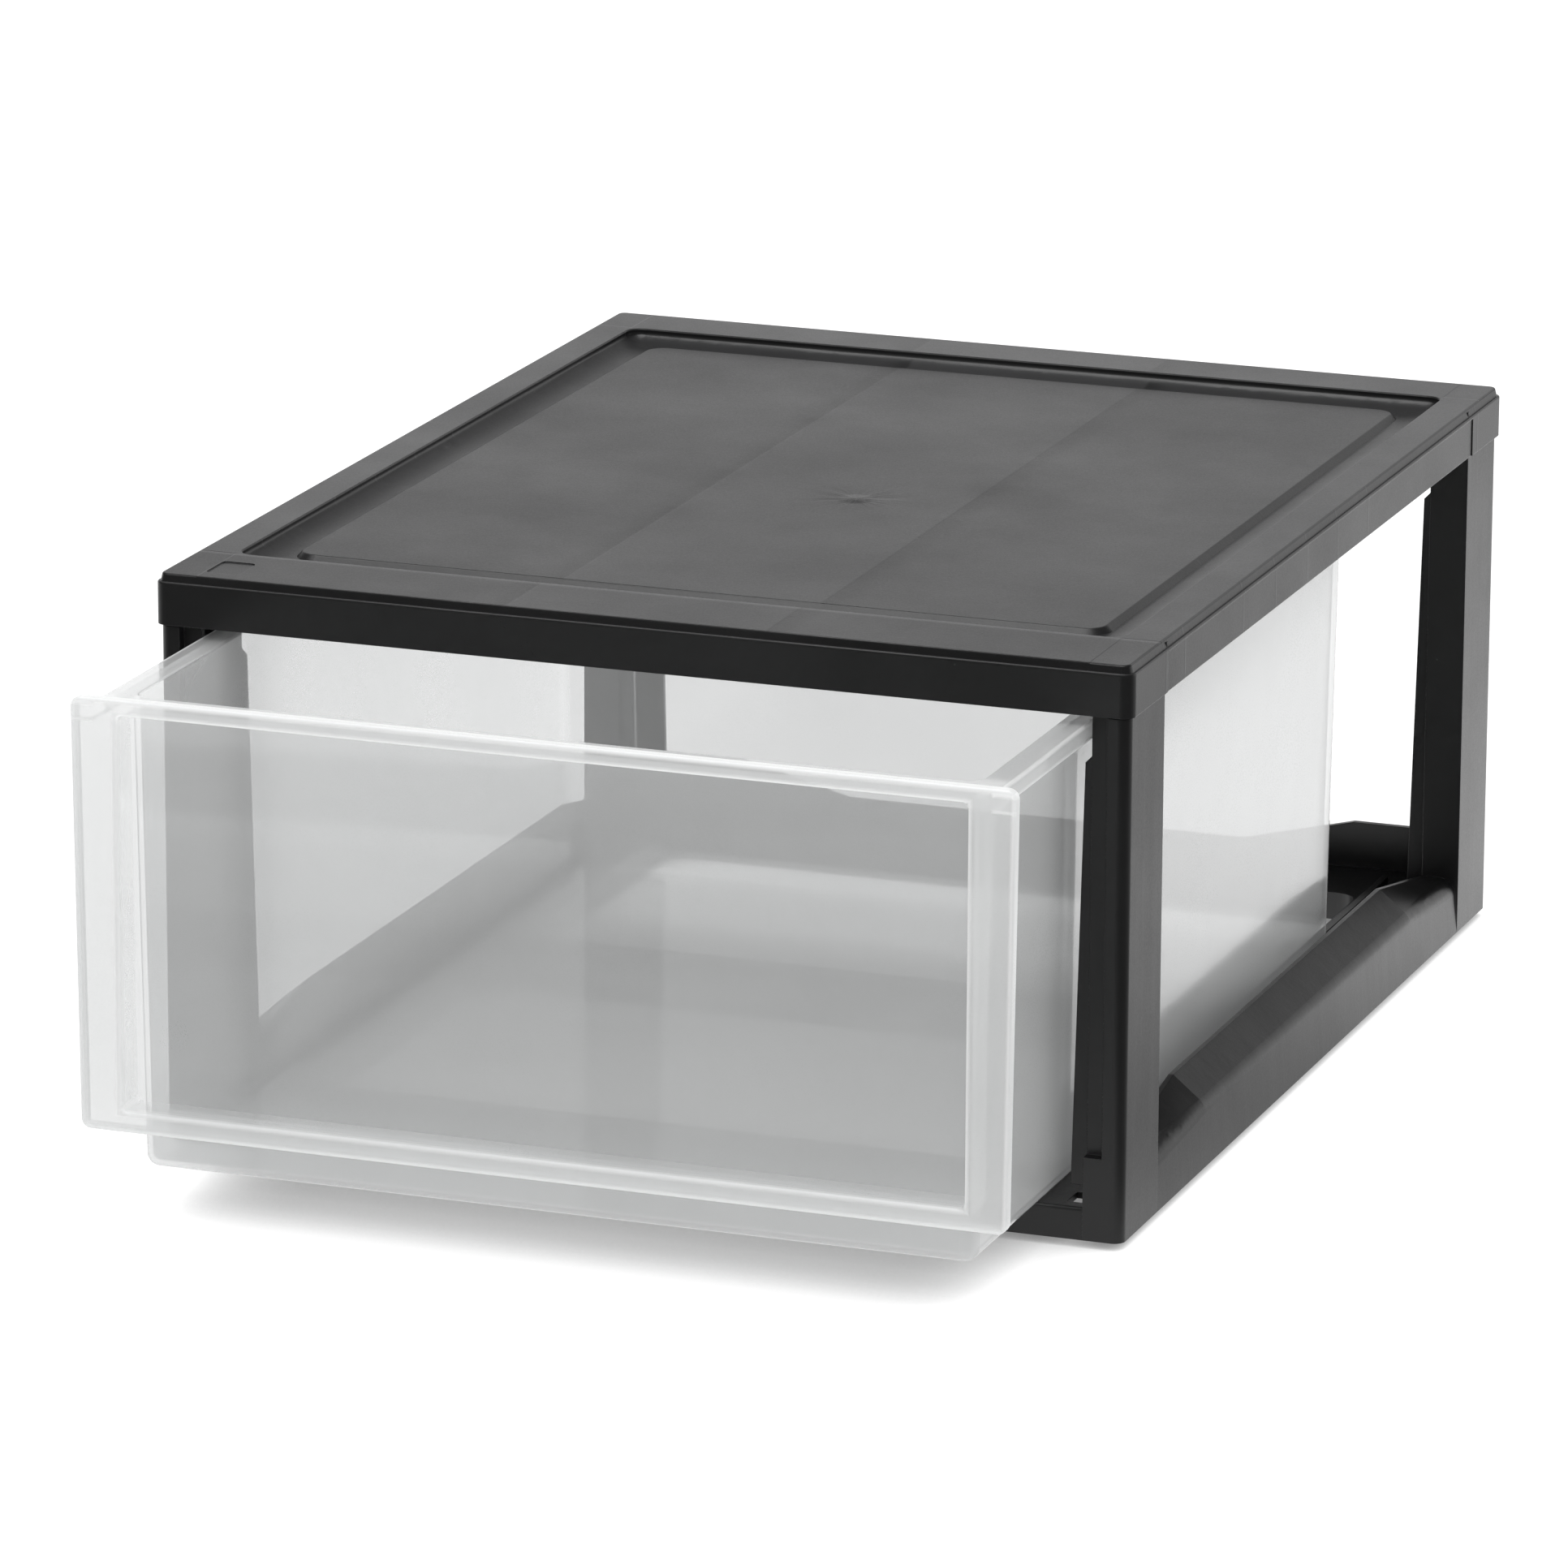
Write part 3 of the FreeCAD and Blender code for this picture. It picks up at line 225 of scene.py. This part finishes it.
def frame_plastic(name, marks):
    """Matte black moulded plastic. marks gives (height in metres, paleness) over the surface; the paleness
    holds the plastic's own tone and painted light.
    """
    made, tree, output = new_material(name)
    place = object_place(tree)
    grain = use_group(tree, GRAIN, [("Place", place)])
    wear = use_group(tree, WEAR, [("Place", place)])
    edges = use_group(tree, EDGES, [("Radius", EDGE_RADIUS)])
    edge = edges.outputs["Edge"]
    scratch = wear.outputs["Scratch"]
    height, pale = marks(tree, place)
    swell = noise(tree, place, 16.0, 2.0)
    small = weighted(tree, [(swell, SWELL), (scratch, -SCRATCH_DEPTH)])
    height = total(tree, [height, small, grain.outputs["Height"]])
    bump = add(tree, "ShaderNodeBump", [
        ("Strength", 1.0), ("Distance", 1.0), ("Height", height), ("Normal", edges.outputs["Normal"]),
    ])
    rough = math_node(tree, "ADD", grain.outputs["Roughness"], FRAME_ROUGH)
    rough = math_node(tree, "MULTIPLY_ADD", edge, -0.08, rough)
    rough = math_node(tree, "MULTIPLY_ADD", scratch, 0.08, rough)
    mist = remap(tree, noise(tree, place, 7.0, 4.0, 0.55, 0.6), 0.35, 0.7, 0.0, 0.05, smooth=True)
    # The edges are painted paler as painted highlights; the dust spots are the plastic's own.
    dust_and_edge_highlight = weighted(tree, [(edge, 0.06), (wear.outputs["Dust"], 0.5)])
    mix = add(tree, "ShaderNodeMix", data_type="RGBA", clamp_factor=True)
    # FRAME_PALE is mixed in for random tone and dust, and for the painted light from the marks and edges.
    link_value(tree, mix.inputs[0], total(tree, [mist, pale, dust_and_edge_highlight]))
    mix.inputs[6].default_value = FRAME_DARK
    mix.inputs[7].default_value = FRAME_PALE
    shader = add(tree, "ShaderNodeBsdfPrincipled", [
        ("Base Color", mix.outputs[2]), ("Roughness", rough), ("IOR", 1.5), ("Normal", bump.outputs[0]),
    ])
    tree.links.new(shader.outputs[0], output.inputs["Surface"])
    return made


# Marks of the cover and painted light on it: places across it, then heights

LINE_LEFT = -0.0535
LINE_RIGHT = 0.053
LINE_WIDTH = 0.0014
WEDGE_WIDTH = 0.014
GATE_X = 0.0082
GATE_Y = 0.0285
BLISTER_REACH = 0.0085
POOL_REACH = (0.006, 0.045)
RAY_REACH = (0.004, 0.034)
RAY_CHANGE = 12.0
RECESS_SIDE = 0.1825
RECESS_FRONT = -0.1575
RECESS_BACK = 0.2725
CORNER_LINE = 0.0008
ROLL_WIDTH = 0.0035
COVER_HIGH = 0.2305
HIGH_STEP = 0.0004
RIM_SINKS = (-0.1565, -0.1325, -0.0585, -0.0165, 0.0255, 0.0665, 0.1085, 0.2645)
SINK_HALF_WIDTH = 0.0011
BAY_STEP = 0.001

STRIP_HEIGHT = 0.00004
BLISTER_HEIGHT = 0.0005
RAY_HEIGHT = 0.00006
CORNER_DEPTH = 0.00009
ROLL_DEPTH = 0.00012
FLOW_HEIGHT = 0.00022
SINK_HEIGHT = 0.00003


def flow_marks(tree, x):
    """Strip between the two flow lines, and the dark wedge shapes that run up to the lines from outside,
    painted shade that stands in for the surface's darker reflection there.
    """
    past_left = rise(tree, x, LINE_LEFT, LINE_WIDTH)
    past_right = rise(tree, x, LINE_RIGHT, LINE_WIDTH)
    strip = math_node(tree, "SUBTRACT", past_left, past_right)
    left = remap(tree, x, LINE_LEFT - WEDGE_WIDTH, LINE_LEFT, smooth=True)
    left = times(tree, left, flipped(tree, past_left))
    right = remap(tree, x, LINE_RIGHT, LINE_RIGHT + WEDGE_WIDTH, 1.0, 0.0, smooth=True)
    right = times(tree, right, past_right)
    return strip, total(tree, [left, right])


def gate_marks(tree, x, y):
    """Low blister where the plastic came in, the dark pool round it, and rays that fade away from it."""
    away_x = math_node(tree, "SUBTRACT", x, GATE_X)
    away_y = math_node(tree, "SUBTRACT", y, GATE_Y)
    squares = [math_node(tree, "POWER", side, 2.0) for side in (away_x, away_y)]
    away = math_node(tree, "SQRT", total(tree, squares))
    blister = remap(tree, away, 0.0, BLISTER_REACH, 1.0, 0.0, smooth=True)
    pool = remap(tree, away, *POOL_REACH, 1.0, 0.0, smooth=True)
    fade = remap(tree, away, *RAY_REACH, 1.0, 0.0, smooth=True)
    turn = math_node(tree, "ARCTAN2", away_y, away_x)
    around = add(tree, "ShaderNodeCombineXYZ", [
        (0, math_node(tree, "COSINE", turn)),
        (1, math_node(tree, "SINE", turn)),
        (2, times(tree, away, RAY_CHANGE)),
    ])
    rays = remap(tree, noise(tree, around.outputs[0], 3.2, 3.0, 0.6), 0.3, 0.7, -1.0, 1.0)
    return blister, pool, times(tree, rays, fade)


def border_marks(tree, x, y, z):
    """Squares at the border's corners, and the border from just before the recess's front edge on back; the
    border mask also carries painted light, a paler tone.
    """
    high = rise(tree, z, COVER_HIGH, HIGH_STEP)
    beside = rise(tree, math_node(tree, "ABSOLUTE", x), RECESS_SIDE, CORNER_LINE)
    before = flipped(tree, rise(tree, y, RECESS_FRONT, CORNER_LINE))
    behind = rise(tree, y, RECESS_BACK, CORNER_LINE)
    squares = times(tree, beside, total(tree, [before, behind]))
    roll = remap(tree, y, RECESS_FRONT - ROLL_WIDTH, RECESS_FRONT, smooth=True)
    return times(tree, squares, high), times(tree, roll, high)


def rim_marks(tree, y):
    """Thin lines down the side rims, and the stretches between them, by turns paler and darker: painted
    highlights on the lines and painted light and shade in between.
    """
    lines = total(tree, [stripe(tree, y, spot, SINK_HALF_WIDTH) for spot in RIM_SINKS])
    steps = [rise(tree, y, spot, BAY_STEP) for spot in RIM_SINKS]
    bays_of_painted_light_and_shade = weighted(tree, [(step, 1.0 if count % 2 else -1.0) for count, step in enumerate(steps)])
    return lines, bays_of_painted_light_and_shade


def cover_marks_and_painted_light(tree, place):
    """Moulding traces of the cover, on the faces that carry each of them, and painted light: paler top faces
    and border, darker wedge shapes, paler rim lines and rim stretches by turns paler and darker.
    """
    x, y, z = split(tree, place)
    top = facing(tree, "Z")
    side = facing(tree, "X")
    strip, painted_shade_wedges = (times(tree, mark, top) for mark in flow_marks(tree, x))
    blister, pool, rays = (times(tree, mark, top) for mark in gate_marks(tree, x, y))
    squares, roll = border_marks(tree, x, y, z)
    lines, bays_of_painted_light_and_shade = (times(tree, mark, side) for mark in rim_marks(tree, y))
    flow = times(tree, noise(tree, place, 9.0, 2.0), top)
    height = weighted(tree, [
        (strip, STRIP_HEIGHT), (blister, BLISTER_HEIGHT), (rays, RAY_HEIGHT), (squares, -CORNER_DEPTH),
        (roll, -ROLL_DEPTH), (flow, FLOW_HEIGHT), (lines, SINK_HEIGHT),
    ])
    # Painted light in the paleness: top faces and the border painted paler, the wedge shapes painted as
    # shade, the rim lines painted as highlights and the stretches between them painted by turns as light and
    # shade.
    pale = weighted(tree, [
        (top, 0.16), (strip, 0.04), (painted_shade_wedges, -0.13), (pool, -0.08), (roll, 0.2), (bays_of_painted_light_and_shade, 0.05), (lines, 0.2),
    ])
    return height, pale


# Marks of the base, with painted light and shade

STREAK_SCALE = (1.0, 1.0, 0.04)
WAVE_HEIGHT = 0.00014
STREAK_HEIGHT = 0.00003
BAND_Y = 0.0515
BAND_HALF_WIDTH = 0.012
BAND_DEPTH = 0.00003
STREAKS_FROM = (0.03, 0.05)


def base_marks_and_painted_light(tree, place):
    """Moulding traces of the base: upright streak marks along the posts, with painted light and shade that
    follows their waves, and a band across the rails' middle.
    """
    y, z = split(tree, place)[1:]
    side = facing(tree, "X")
    upright = stretched(tree, place, STREAK_SCALE)
    waves = noise(tree, upright, 55.0, 2.0)
    fine = noise(tree, upright, 210.0, 2.0)
    band = stripe(tree, y, BAND_Y, BAND_HALF_WIDTH)
    height = weighted(tree, [(waves, WAVE_HEIGHT), (fine, STREAK_HEIGHT), (band, -BAND_DEPTH)])
    above = times(tree, remap(tree, z, *STREAKS_FROM), side)
    streaks_of_painted_light_and_shade = times(tree, remap(tree, waves, 0.35, 0.65, -1.0, 1.0), above)
    # Painted light and shade: the post sides are painted paler and darker along the waves of their bump.
    pale = weighted(tree, [(times(tree, band, side), 0.06), (streaks_of_painted_light_and_shade, 0.06)])
    return height, pale


# Drawer plastic

WHITE = (1.0, 1.0, 1.0, 1.0)
MILK = (0.93, 0.935, 0.935, 1.0)
GLOW = (0.95, 0.955, 0.955, 1.0)
CLEAR = (0.932, 0.935, 0.935, 1.0)
DRAWER_ROUGH = 0.3
HAZE = 0.28
SHINE_ROUGH = 0.07
SHINE_LEAST = 0.03
SHINE_GROWTH = 0.96

SOFT_STEP = 0.001
FLANGE_FRONT = -0.3015
FLANGE_DEPTH = 0.0049
FLANGE_LOW, FLANGE_HIGH = 0.0372, 0.2084
FLANGE_FOOT, FLANGE_HEAD = 0.1875, 0.1895
OUTLINE_FADE = (0.0006, 0.0024)
WINDOW_LOW, WINDOW_HIGH, WINDOW_HALF = 0.0455, 0.202, 0.1706
WINDOW_DEPTH = 0.0028
WINDOW_LINE = 0.0008
WINDOW_LINE_HALF_WIDTH = 0.0016
BRIM_SIDE, BRIM_BACK = 0.1816, 0.1784
BRIM_LOW, BRIM_HIGH = 0.1996, 0.2062
BRIM_INSET = 0.0014
BRIM_LINE = 0.0012
BRIM_MARGIN = 0.0004
BRIM_STEP = 0.0006


def inside_box(tree, across, z, half, low, high):
    """How far a point lies inside an upright rectangle, less than zero outside it."""
    return least(tree, [
        math_node(tree, "SUBTRACT", half, across),
        math_node(tree, "SUBTRACT", z, low),
        math_node(tree, "SUBTRACT", high, z),
    ])


def flange_painted_highlights(tree, across, y, z):
    """Painted highlights of the flange: its outline and the window's edge painted white, and all of the
    flange round the window whiter too.
    """
    flange = flipped(tree, rise(tree, y, FLANGE_FRONT + FLANGE_DEPTH, SOFT_STEP))
    half = remap(tree, z, FLANGE_LOW, FLANGE_HIGH, FLANGE_FOOT, FLANGE_HEAD)
    inside = inside_box(tree, across, z, half, FLANGE_LOW, FLANGE_HIGH)
    outline = times(tree, remap(tree, inside, *OUTLINE_FADE, 1.0, 0.0, smooth=True), flange)
    window = inside_box(tree, across, z, WINDOW_HALF, WINDOW_LOW, WINDOW_HIGH)
    shallow = flipped(tree, rise(tree, y, FLANGE_FRONT + WINDOW_DEPTH, WINDOW_LINE_HALF_WIDTH))
    line = times(tree, stripe(tree, window, -WINDOW_LINE, WINDOW_LINE_HALF_WIDTH), shallow)
    around = times(tree, flipped(tree, rise(tree, window, 0.0, SOFT_STEP)), flange)
    return weighted(tree, [(outline, 1.0), (line, 0.8), (around, 0.22)])


def brim_painted_highlights(tree, across, y, z):
    """Painted highlights: white along the turned-down rim's lower and upper outer edges."""
    past_side = math_node(tree, "SUBTRACT", across, BRIM_SIDE)
    past_back = math_node(tree, "SUBTRACT", y, BRIM_BACK)
    outer = rise(tree, math_node(tree, "MAXIMUM", past_side, past_back), -BRIM_INSET, BRIM_LINE)
    tall = rise(tree, z, BRIM_LOW - BRIM_MARGIN, BRIM_STEP)
    lines = total(tree, [stripe(tree, z, BRIM_LOW, BRIM_LINE), stripe(tree, z, BRIM_HIGH, BRIM_INSET)])
    return times(tree, times(tree, outer, tall), lines)


def drawer_haze(tree, place):
    """Share of milk in the sheet: more where it is seen edge on, in soft clouds, and along thick edges, where
    the extra milk paints highlights.
    """
    x, y, z = split(tree, place)
    across = math_node(tree, "ABSOLUTE", x)
    slant = add(tree, "ShaderNodeLayerWeight", [("Blend", 0.5)]).outputs["Facing"]
    edges = total(tree, [flange_painted_highlights(tree, across, y, z), brim_painted_highlights(tree, across, y, z)])
    haze = total(tree, [
        remap(tree, slant, 0.6, 1.0, 0.0, 0.35),
        remap(tree, noise(tree, place, 10.0, 3.0, 0.5), 0.3, 0.7, -0.02, 0.02),
        # Painted highlights: the edge lines are made white with extra milk.
        times(tree, edges, 0.5),
    ])
    return slant, math_node(tree, "ADD", haze, HAZE, clamp=True)


def drawer_plastic(name):
    """Glossy translucent moulded plastic: a clear sheet with milk in it, whiter where thick or edge on, with
    the edge lines painted white as painted highlights.
    """
    made, tree, output = new_material(name)
    place = object_place(tree)
    grain = use_group(tree, GRAIN, [("Place", place)])
    wear = use_group(tree, WEAR, [("Place", place)])
    height = weighted(tree, [
        (noise(tree, place, 12.0, 2.0), SWELL),
        (grain.outputs["Height"], 0.3),
        (wear.outputs["Scratch"], -SCRATCH_DEPTH),
    ])
    bump = add(tree, "ShaderNodeBump", [("Strength", 1.0), ("Distance", 1.0), ("Height", height)])
    rough = math_node(tree, "ADD", grain.outputs["Roughness"], DRAWER_ROUGH)
    milk = add(tree, "ShaderNodeBsdfPrincipled", [
        ("Base Color", MILK), ("Roughness", rough), ("IOR", 1.49), ("Normal", bump.outputs[0]),
    ])
    glow = add(tree, "ShaderNodeBsdfTranslucent", [("Color", GLOW)])
    body = add(tree, "ShaderNodeMixShader", [(0, 0.5), (1, milk.outputs[0]), (2, glow.outputs[0])])
    clear = add(tree, "ShaderNodeBsdfTransparent", [("Color", CLEAR)])
    slant, haze = drawer_haze(tree, place)
    # Shadow rays meet only half of the haze, so that shadows cast through the drawer stay soft
    shadow_ray = add(tree, "ShaderNodeLightPath").outputs["Is Shadow Ray"]
    haze = times(tree, haze, flipped(tree, times(tree, shadow_ray, 0.5)))
    sheet = add(tree, "ShaderNodeMixShader", [(0, haze), (1, clear.outputs[0]), (2, body.outputs[0])])
    shine = add(tree, "ShaderNodeBsdfAnisotropic", [("Color", WHITE), ("Roughness", SHINE_ROUGH)])
    steep = math_node(tree, "POWER", slant, 5.0)
    grazing = math_node(tree, "MULTIPLY_ADD", steep, SHINE_GROWTH, SHINE_LEAST)
    final = add(tree, "ShaderNodeMixShader", [(0, grazing), (1, sheet.outputs[0]), (2, shine.outputs[0])])
    tree.links.new(final.outputs[0], output.inputs["Surface"])
    return made


def dress(node, material):
    """Gives a carried-over part its material."""
    node.data.materials.clear()
    node.data.materials.append(material)


dress(cover, frame_plastic("cover_looks", cover_marks_and_painted_light))
dress(base, frame_plastic("base_looks", base_marks_and_painted_light))
dress(drawer, drawer_plastic("drawer_plastic_looks"))


# Floor and room: white to the camera, mirrored as a low bright backdrop behind and dim in front

FLOOR_HALF = 6.0
FLOOR_DROP = 0.0002
FLOOR_COLOUR = (0.8, 0.8, 0.8, 1.0)
SHADOW_REACH = 0.05
SHADOW_WHITE = 1.3
FLOOR_GLOW = 1.45
BEHIND_Y = (-0.25, 0.45)
FAR_RIGHT_X = (0.33, 0.42)
FAR_RIGHT_Y = (0.55, 0.72)
FAR_RIGHT_DIM = (0.8, 0.45)
NEAR_GLOW = 0.7
NEAR_START_Y = (-0.56, -0.3)
NEAR_END_X = (0.2, 0.3)
NEAR_END_Y = (-0.2, 0.1)
FRONT_GLOW = 0.12
DIM_GLOW = 0.1
BACK_GLOW = 0.76
BACKDROP_LOW = 0.24
BACKDROP_HIGH = 0.42
SOFT_GLOW = 0.88
LAMP_PLACE = (-0.3, -0.3, 2.2)
LAMP_TARGET = (0.0, 0.0, 0.1)
LAMP_SIDE = 1.7
LAMP_POWER = 33.0


def floor_mirror(tree):
    """Brightness of the mirrored floor: high behind the object, low at the far right and in front of it."""
    x, y = split(tree, object_place(tree))[:2]
    behind = remap(tree, y, *BEHIND_Y, 0.0, FLOOR_GLOW, smooth=True)
    right = remap(tree, x, *FAR_RIGHT_X, smooth=True)
    far_right = times(tree, right, remap(tree, y, *FAR_RIGHT_Y, *FAR_RIGHT_DIM))
    behind = times(tree, behind, flipped(tree, far_right))
    near = remap(tree, y, *NEAR_START_Y, smooth=True)
    near = times(tree, near, remap(tree, x, *NEAR_END_X, NEAR_GLOW, 0.0, smooth=True))
    near = times(tree, near, remap(tree, y, *NEAR_END_Y, 1.0, 0.0, smooth=True))
    return total(tree, [behind, near, FRONT_GLOW])


def floor_looks(name):
    """White floor with the object's soft shadow for the camera, and its own brightness in mirroring faces."""
    made, tree, output = new_material(name)
    pale = add(tree, "ShaderNodeBsdfDiffuse", [("Color", FLOOR_COLOUR)])
    open_sky = add(tree, "ShaderNodeAmbientOcclusion", [("Distance", SHADOW_REACH)], samples=16).outputs["AO"]
    strength = remap(tree, open_sky, 0.0, 0.6, 0.2, SHADOW_WHITE)
    white = add(tree, "ShaderNodeEmission", [("Color", WHITE), ("Strength", strength)])
    room = add(tree, "ShaderNodeEmission", [("Strength", floor_mirror(tree))])
    shown = add(tree, "ShaderNodeMixShader", [(0, 0.8), (1, pale.outputs[0]), (2, white.outputs[0])])
    path = add(tree, "ShaderNodeLightPath")
    seen = math_node(tree, "MAXIMUM", path.outputs["Is Camera Ray"], path.outputs["Is Transmission Ray"])
    mixed = add(tree, "ShaderNodeMixShader", [(0, seen), (1, pale.outputs[0]), (2, shown.outputs[0])])
    glossy = path.outputs["Is Glossy Ray"]
    final = add(tree, "ShaderNodeMixShader", [(0, glossy), (1, mixed.outputs[0]), (2, room.outputs[0])])
    tree.links.new(final.outputs[0], output.inputs["Surface"])
    return made


def white_floor():
    """Large square floor just under the object."""
    mesh = bpy.data.meshes.new("floor")
    turns = [(-1, -1), (1, -1), (1, 1), (-1, 1)]
    corners = [(FLOOR_HALF * across, FLOOR_HALF * along, -FLOOR_DROP) for across, along in turns]
    mesh.from_pydata(corners, [], [(0, 1, 2, 3)])
    floor = bpy.data.objects.new("floor", mesh)
    bpy.context.scene.collection.objects.link(floor)
    mesh.materials.append(floor_looks("floor_looks"))


def studio_world():
    """White room for the camera, with soft even light, and a low bright backdrop for mirrored rays."""
    world = bpy.data.worlds.new("studio")
    bpy.context.scene.world = world
    world.use_nodes = True
    tree = world.node_tree
    tree.nodes.clear()
    output = tree.nodes.new("ShaderNodeOutputWorld")
    y, z = split(tree, add(tree, "ShaderNodeTexCoord").outputs["Generated"])[1:]
    low = remap(tree, z, BACKDROP_LOW, BACKDROP_HIGH, 1.0, 0.0, smooth=True)
    backdrop = times(tree, remap(tree, y, 0.0, 0.6, smooth=True), low)
    dim = remap(tree, z, 0.2, 0.6, FRONT_GLOW, DIM_GLOW, smooth=True)
    mirrored = math_node(tree, "MULTIPLY_ADD", backdrop, BACK_GLOW, dim)
    path = add(tree, "ShaderNodeLightPath")
    glossy = path.outputs["Is Glossy Ray"]
    even = times(tree, flipped(tree, glossy), SOFT_GLOW)
    strength = math_node(tree, "MULTIPLY_ADD", glossy, mirrored, even)
    room = add(tree, "ShaderNodeBackground", [("Color", WHITE), ("Strength", strength)])
    white = add(tree, "ShaderNodeBackground", [("Color", WHITE), ("Strength", 1.0)])
    seen = math_node(tree, "MAXIMUM", path.outputs["Is Camera Ray"], path.outputs["Is Transmission Ray"])
    mixed = add(tree, "ShaderNodeMixShader", [(0, seen), (1, room.outputs[0]), (2, white.outputs[0])])
    tree.links.new(mixed.outputs[0], output.inputs["Surface"])


def softbox(name, place, target, side, power):
    """Square soft light that looks at a target."""
    data = bpy.data.lights.new(name, "AREA")
    data.shape = "RECTANGLE"
    data.size = side
    data.size_y = side
    data.energy = power
    light = bpy.data.objects.new(name, data)
    bpy.context.scene.collection.objects.link(light)
    light.location = place
    light.rotation_euler = (Vector(target) - Vector(place)).to_track_quat("-Z", "Y").to_euler()
    light.visible_camera = False


white_floor()
studio_world()
softbox("overhead", LAMP_PLACE, LAMP_TARGET, LAMP_SIDE, LAMP_POWER)


# Camera at the photograph's angle

camera_data = bpy.data.cameras.new("camera")
camera_data.sensor_width = 36.0
camera_data.lens = 219.975
camera_data.shift_x = -0.02042
camera_data.shift_y = -0.00119
camera_data.clip_start = 0.1
camera_data.clip_end = 100.0
camera = bpy.data.objects.new("camera", camera_data)
bpy.context.scene.collection.objects.link(camera)
camera.location = (1.27216, -3.50172, 1.14482)
camera.rotation_euler = Euler([math.radians(angle) for angle in (74.556, -0.292, 20.015)])
bpy.context.scene.camera = camera
bpy.context.scene.view_settings.view_transform = "Standard"
